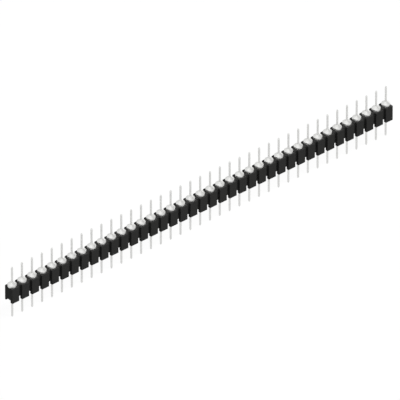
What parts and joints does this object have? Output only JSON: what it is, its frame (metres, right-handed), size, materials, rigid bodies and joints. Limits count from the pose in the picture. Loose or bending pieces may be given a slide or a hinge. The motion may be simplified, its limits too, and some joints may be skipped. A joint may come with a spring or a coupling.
{
  "type": "pin header strip",
  "caption": "Single row of turned contact pins with collars, pressed into a black snap-apart insulator of joined blocks; solder tails below and plug pins above.",
  "frame": {"origin": "axis of the middle pin, in the plane that the stand-off feet rest on", "axes": "+X along the row, +Y to the back, +Z along the pins towards their plug ends"},
  "size_m": [0.0984, 0.0024, 0.012],
  "materials": {
    "insulator_plastic": "black moulded plastic",
    "pin_metal": "turned, tin plated"
  },
  "bodies": {
    "root": {"insulator": "insulator_plastic", "pin_01": "pin_metal", "pin_02": "pin_metal", "pin_03": "pin_metal", "pin_04": "pin_metal", "pin_05": "pin_metal", "pin_06": "pin_metal", "pin_07": "pin_metal", "pin_08": "pin_metal", "pin_09": "pin_metal", "pin_10": "pin_metal", "pin_11": "pin_metal", "pin_12": "pin_metal", "pin_13": "pin_metal", "pin_14": "pin_metal", "pin_15": "pin_metal", "pin_16": "pin_metal", "pin_17": "pin_metal", "pin_18": "pin_metal", "pin_19": "pin_metal", "pin_20": "pin_metal", "pin_21": "pin_metal", "pin_22": "pin_metal", "pin_23": "pin_metal", "pin_24": "pin_metal", "pin_25": "pin_metal", "pin_26": "pin_metal", "pin_27": "pin_metal", "pin_28": "pin_metal", "pin_29": "pin_metal", "pin_30": "pin_metal", "pin_31": "pin_metal", "pin_32": "pin_metal", "pin_33": "pin_metal", "pin_34": "pin_metal", "pin_35": "pin_metal", "pin_36": "pin_metal", "pin_37": "pin_metal", "pin_38": "pin_metal", "pin_39": "pin_metal"}
  },
  "joints": []
}
